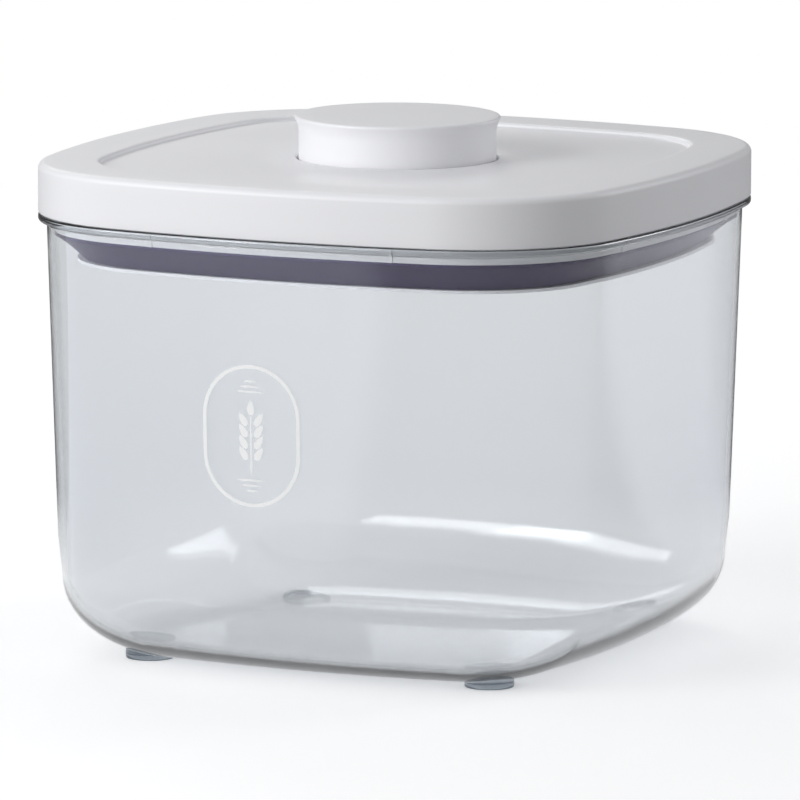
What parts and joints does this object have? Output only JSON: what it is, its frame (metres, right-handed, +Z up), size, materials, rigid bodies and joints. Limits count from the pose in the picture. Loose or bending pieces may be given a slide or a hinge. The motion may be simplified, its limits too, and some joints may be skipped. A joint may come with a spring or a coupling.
{
  "type": "storage bin with press-button lid",
  "caption": "Clear square food storage tub with bowed sides, on bumper feet, and a white press-button lid whose levers squeeze a soft seal against the tub.",
  "frame": {"origin": "on the standing surface, under the middle of the tub", "axes": "+Z up, front wall with the capacity ring towards -Y, +X to the right"},
  "size_m": [0.234, 0.234, 0.195],
  "materials": {
    "clear_tub": "clear moulded, polished",
    "clear_bumper": "clear soft",
    "white_cover": "fine satin moulded",
    "clear_carrier": "frosted clear moulded",
    "seal_silicone": "satin silicone",
    "white_plate": "moulded",
    "white_button": "fine satin moulded",
    "core_plastic": "moulded",
    "spring_steel": "drawn wire",
    "lever_plastic": "moulded",
    "pin_steel": "ground"
  },
  "bodies": {
    "tub": {"tub": "clear_tub", "foot_front_left": "clear_bumper", "foot_front_right": "clear_bumper", "foot_back_left": "clear_bumper", "foot_back_right": "clear_bumper"},
    "lid": {"lid_cover": "white_cover", "seal_carrier": "clear_carrier", "seal_ring": "seal_silicone", "pivot_pin_front": "pin_steel", "pivot_pin_right": "pin_steel", "pivot_pin_back": "pin_steel", "pivot_pin_left": "pin_steel", "latch_pin": "pin_steel", "carrier_screws": "pin_steel", "return_spring": "spring_steel"},
    "button": {"button_cap": "white_button", "button_core": "core_plastic"},
    "plate": {"pressure_plate": "white_plate", "lift_post_front": "pin_steel", "lift_post_right": "pin_steel", "lift_post_back": "pin_steel", "lift_post_left": "pin_steel"},
    "front_lever": {"lever_front": "lever_plastic"},
    "right_lever": {"lever_right": "lever_plastic"},
    "back_lever": {"lever_back": "lever_plastic"},
    "left_lever": {"lever_left": "lever_plastic"},
    "latch": {"latch_arm": "pin_steel"}
  },
  "joints": [
    {"name": "lid_lift", "type": "slide", "parent": "tub", "child": "lid", "axis": [0, 0, 1], "range_m": [0, 0.08]},
    {"name": "button_press", "type": "slide", "parent": "lid", "child": "button", "axis": [0, 0, -1], "range_m": [0, 0.012], "stiffness_N_per_m": 320, "springref_m": -0.01, "deforming": ["return_spring"]},
    {"name": "plate_rise", "type": "slide", "parent": "lid", "child": "plate", "axis": [0, 0, 1], "range_m": [0, 0.003], "deforming": ["seal_ring"]},
    {"name": "front_lever_rock", "type": "hinge", "parent": "lid", "child": "front_lever", "pos_m": [0, -0.042, 0.16425], "axis": [-1, 0, 0], "range_deg": [0, 24.75]},
    {"name": "right_lever_rock", "type": "hinge", "parent": "lid", "child": "right_lever", "pos_m": [0.042, 0, 0.16425], "axis": [0, -1, 0], "range_deg": [0, 24.75]},
    {"name": "back_lever_rock", "type": "hinge", "parent": "lid", "child": "back_lever", "pos_m": [0, 0.042, 0.16425], "axis": [1, 0, 0], "range_deg": [0, 24.75]},
    {"name": "left_lever_rock", "type": "hinge", "parent": "lid", "child": "left_lever", "pos_m": [-0.042, 0, 0.16425], "axis": [0, 1, 0], "range_deg": [0, 24.75]},
    {"name": "latch_swing", "type": "hinge", "parent": "lid", "child": "latch", "pos_m": [0.0135, 0.0135, 0.1579], "axis": [0.7071, 0.7071, 0], "range_deg": [-11.27, 0]}
  ],
  "couplings": [
    {"joint": "plate_rise", "follows": "button_press", "ratio": 0.25},
    {"joint": "front_lever_rock", "follows": "button_press", "rad_per_m": 35.993},
    {"joint": "right_lever_rock", "follows": "button_press", "rad_per_m": 35.993},
    {"joint": "back_lever_rock", "follows": "button_press", "rad_per_m": 35.993},
    {"joint": "left_lever_rock", "follows": "button_press", "rad_per_m": 35.993},
    {"joint": "latch_swing", "follows": "button_press", "rad_per_m": -16.38}
  ]
}
